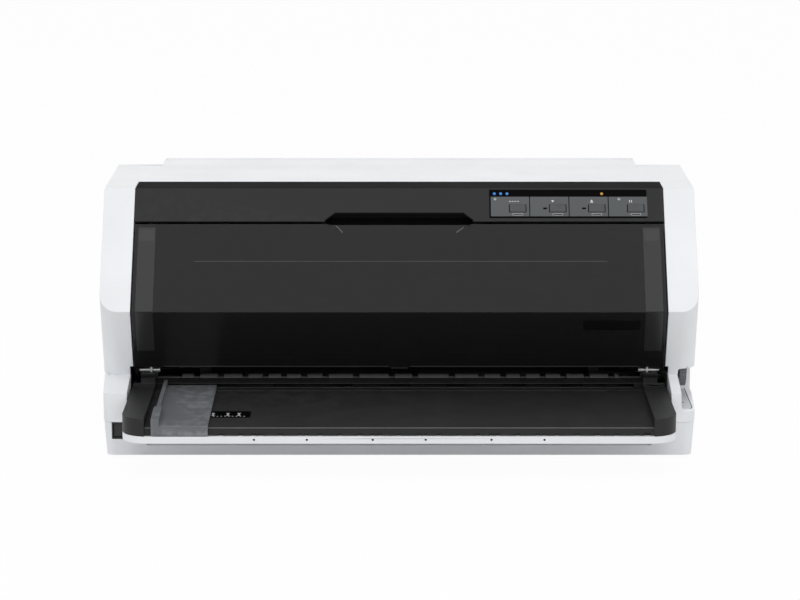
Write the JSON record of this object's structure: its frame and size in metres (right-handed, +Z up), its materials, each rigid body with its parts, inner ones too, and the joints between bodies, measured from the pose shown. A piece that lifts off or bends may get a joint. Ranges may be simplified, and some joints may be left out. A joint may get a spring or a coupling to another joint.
{
  "type": "dot matrix printer",
  "caption": "Flatbed dot matrix printer: white case with a dark fascia, a smoked cover hinged forward over the print mechanism, a front paper table with an edge guide, and a rear sheet guide.",
  "frame": {"origin": "centre of the footprint at the bottom of the rubber feet", "axes": "+X to the right, +Y to the back, +Z up; the table and the smoked cover face -Y"},
  "size_m": [0.48, 0.378, 0.21],
  "materials": {
    "case_white": "fine matt moulded texture",
    "dark_trim": "fine satin moulded texture",
    "smoked_cover": "smoked, semi gloss",
    "panel_black": "black printed film",
    "lamp_blue": "clear tinted light pipes",
    "circuit_board": "green solder mask",
    "key_grey": "matt moulded",
    "accent_grey": "matt moulded",
    "black_plastic": "matt moulded",
    "bright_steel": "ground and polished",
    "sheet_steel": "zinc plated sheet",
    "rubber": "ground rubber",
    "nylon": "natural moulded nylon",
    "motor_black": "black enamel",
    "cast_aluminium": "blasted casting"
  },
  "bodies": {
    "case": {"upper_case": "case_white", "lower_case": "case_white", "fascia": "dark_trim", "control_panel": "panel_black", "indicator_lamps": "lamp_blue", "panel_board": "circuit_board", "cover_hinge_pins": "bright_steel", "table_tray": "dark_trim", "table_base": "case_white", "switch_body": "black_plastic", "rubber_feet": "rubber", "case_screws": "bright_steel", "left_side_frame": "sheet_steel", "right_side_frame": "sheet_steel", "cross_beam": "sheet_steel", "platen": "rubber", "front_paper_guide": "dark_trim", "rear_paper_guide": "dark_trim", "guide_shaft": "bright_steel", "carriage_motor": "motor_black", "belt_tensioner": "sheet_steel", "carriage_belt": "rubber", "ribbon_cartridge": "dark_trim", "feed_motor": "motor_black", "shaft_bushes": "nylon", "tractor_guide_shaft": "bright_steel", "tractor_belt": "rubber", "main_board": "circuit_board", "interface_sockets": "black_plastic", "power_supply": "sheet_steel", "mains_inlet": "black_plastic"},
    "cover": {"printer_cover": "smoked_cover"},
    "menu_button": {"menu_key": "key_grey"},
    "line_feed_button": {"line_feed_key": "key_grey"},
    "load_button": {"load_key": "key_grey"},
    "pause_button": {"pause_key": "key_grey"},
    "switch": {"power_switch": "black_plastic"},
    "left_edge_guide": {"edge_guide": "accent_grey"},
    "knob": {"paper_feed_knob": "accent_grey"},
    "front_roller": {"front_feed_roller": "rubber", "front_roller_gear": "nylon"},
    "front_pinch": {"front_pinch_roller": "rubber"},
    "rear_roller": {"rear_feed_roller": "rubber", "rear_roller_gear": "nylon"},
    "rear_pinch": {"rear_pinch_roller": "rubber"},
    "idler": {"idler_gear": "nylon"},
    "pinion": {"feed_pinion": "nylon"},
    "head_carriage": {"carriage": "black_plastic", "print_head": "cast_aluminium"},
    "drive_pulley": {"motor_pulley": "nylon"},
    "return_pulley": {"idler_pulley": "nylon"},
    "ribbon_winder": {"ribbon_knob": "accent_grey"},
    "tractor_drive": {"tractor_shaft": "bright_steel"},
    "tractor_left": {"left_tractor": "black_plastic"},
    "tractor_right": {"right_tractor": "black_plastic"},
    "sprocket_left": {"left_sprocket": "nylon"},
    "sprocket_right": {"right_sprocket": "nylon"},
    "door_left": {"left_tractor_door": "accent_grey"},
    "door_right": {"right_tractor_door": "accent_grey"},
    "sheet_guide": {"rear_sheet_guide": "case_white"}
  },
  "joints": [
    {"name": "cover_hinge", "type": "hinge", "parent": "case", "child": "cover", "pos_m": [0, -0.072, 0.062], "axis": [1, 0, 0], "range_deg": [0, 70]},
    {"name": "menu_press", "type": "slide", "parent": "case", "child": "menu_button", "axis": [0, 0.7989, -0.6014], "range_m": [0, 0.0012], "stiffness_N_per_m": 900},
    {"name": "line_feed_press", "type": "slide", "parent": "case", "child": "line_feed_button", "axis": [0, 0.7989, -0.6014], "range_m": [0, 0.0012], "stiffness_N_per_m": 900},
    {"name": "load_press", "type": "slide", "parent": "case", "child": "load_button", "axis": [0, 0.7989, -0.6014], "range_m": [0, 0.0012], "stiffness_N_per_m": 900},
    {"name": "pause_press", "type": "slide", "parent": "case", "child": "pause_button", "axis": [0, 0.7989, -0.6014], "range_m": [0, 0.0012], "stiffness_N_per_m": 900},
    {"name": "switch_rock", "type": "hinge", "parent": "case", "child": "switch", "pos_m": [-0.2187, -0.1105, 0.0222], "axis": [0, 0, 1], "range_deg": [0, 12]},
    {"name": "edge_guide_slide", "type": "slide", "parent": "case", "child": "left_edge_guide", "axis": [1, 0, 0], "range_m": [0, 0.06]},
    {"name": "front_roller_turn", "type": "hinge", "parent": "case", "child": "front_roller", "pos_m": [0, -0.06, 0.043], "axis": [1, 0, 0], "continuous": true},
    {"name": "knob_turn", "type": "hinge", "parent": "case", "child": "knob", "pos_m": [0, -0.06, 0.066], "axis": [1, 0, 0], "continuous": true},
    {"name": "front_pinch_turn", "type": "hinge", "parent": "case", "child": "front_pinch", "pos_m": [0, -0.06, 0.0518], "axis": [1, 0, 0], "continuous": true},
    {"name": "rear_roller_turn", "type": "hinge", "parent": "case", "child": "rear_roller", "pos_m": [0, 0.038, 0.043], "axis": [1, 0, 0], "continuous": true},
    {"name": "rear_pinch_turn", "type": "hinge", "parent": "case", "child": "rear_pinch", "pos_m": [0, 0.038, 0.0518], "axis": [1, 0, 0], "continuous": true},
    {"name": "idler_turn", "type": "hinge", "parent": "case", "child": "idler", "pos_m": [0, -0.011, 0.043], "axis": [1, 0, 0], "continuous": true},
    {"name": "pinion_turn", "type": "hinge", "parent": "case", "child": "pinion", "pos_m": [0, 0.02092, 0.01889], "axis": [1, 0, 0], "continuous": true},
    {"name": "carriage_slide", "type": "slide", "parent": "case", "child": "head_carriage", "axis": [1, 0, 0], "range_m": [-0.13, 0.13]},
    {"name": "drive_pulley_turn", "type": "hinge", "parent": "case", "child": "drive_pulley", "pos_m": [-0.184, 0.054, 0.084], "axis": [0, 0, 1], "range_deg": [-980, 980]},
    {"name": "return_pulley_turn", "type": "hinge", "parent": "case", "child": "return_pulley", "pos_m": [0.184, 0.054, 0.084], "axis": [0, 0, 1], "range_deg": [-980, 980]},
    {"name": "ribbon_knob_turn", "type": "hinge", "parent": "case", "child": "ribbon_winder", "pos_m": [-0.14, -0.056, 0.114], "axis": [0, 0, 1], "continuous": true},
    {"name": "tractor_shaft_turn", "type": "hinge", "parent": "case", "child": "tractor_drive", "pos_m": [0, 0.134, 0.092], "axis": [1, 0, 0], "continuous": true},
    {"name": "left_tractor_slide", "type": "slide", "parent": "case", "child": "tractor_left", "axis": [1, 0, 0], "range_m": [-0.03, 0.06]},
    {"name": "right_tractor_slide", "type": "slide", "parent": "case", "child": "tractor_right", "axis": [1, 0, 0], "range_m": [-0.06, 0.03]},
    {"name": "left_sprocket_turn", "type": "hinge", "parent": "tractor_left", "child": "sprocket_left", "pos_m": [-0.11, 0.134, 0.092], "axis": [1, 0, 0], "continuous": true},
    {"name": "right_sprocket_turn", "type": "hinge", "parent": "tractor_right", "child": "sprocket_right", "pos_m": [0.11, 0.134, 0.092], "axis": [1, 0, 0], "continuous": true},
    {"name": "left_door_hinge", "type": "hinge", "parent": "tractor_left", "child": "door_left", "pos_m": [-0.1245, 0.124, 0.103], "axis": [0, -1, 0], "range_deg": [0, 110]},
    {"name": "right_door_hinge", "type": "hinge", "parent": "tractor_right", "child": "door_right", "pos_m": [0.1245, 0.124, 0.103], "axis": [0, 1, 0], "range_deg": [0, 110]},
    {"name": "sheet_guide_hinge", "type": "hinge", "parent": "case", "child": "sheet_guide", "pos_m": [0, 0.0888, 0.2073], "axis": [1, 0, 0], "range_deg": [0, 100]}
  ],
  "couplings": [
    {"joint": "knob_turn", "follows": "front_roller_turn", "ratio": -1.875},
    {"joint": "front_pinch_turn", "follows": "front_roller_turn", "ratio": -1.125},
    {"joint": "rear_roller_turn", "follows": "front_roller_turn", "ratio": 1},
    {"joint": "rear_pinch_turn", "follows": "front_roller_turn", "ratio": -1.125},
    {"joint": "idler_turn", "follows": "front_roller_turn", "ratio": -0.44118},
    {"joint": "pinion_turn", "follows": "front_roller_turn", "ratio": 2.5},
    {"joint": "tractor_shaft_turn", "follows": "front_roller_turn", "ratio": 1},
    {"joint": "left_sprocket_turn", "follows": "front_roller_turn", "ratio": 1},
    {"joint": "right_sprocket_turn", "follows": "front_roller_turn", "ratio": 1},
    {"joint": "drive_pulley_turn", "follows": "carriage_slide", "rad_per_m": 130.72},
    {"joint": "return_pulley_turn", "follows": "carriage_slide", "rad_per_m": 130.72}
  ]
}
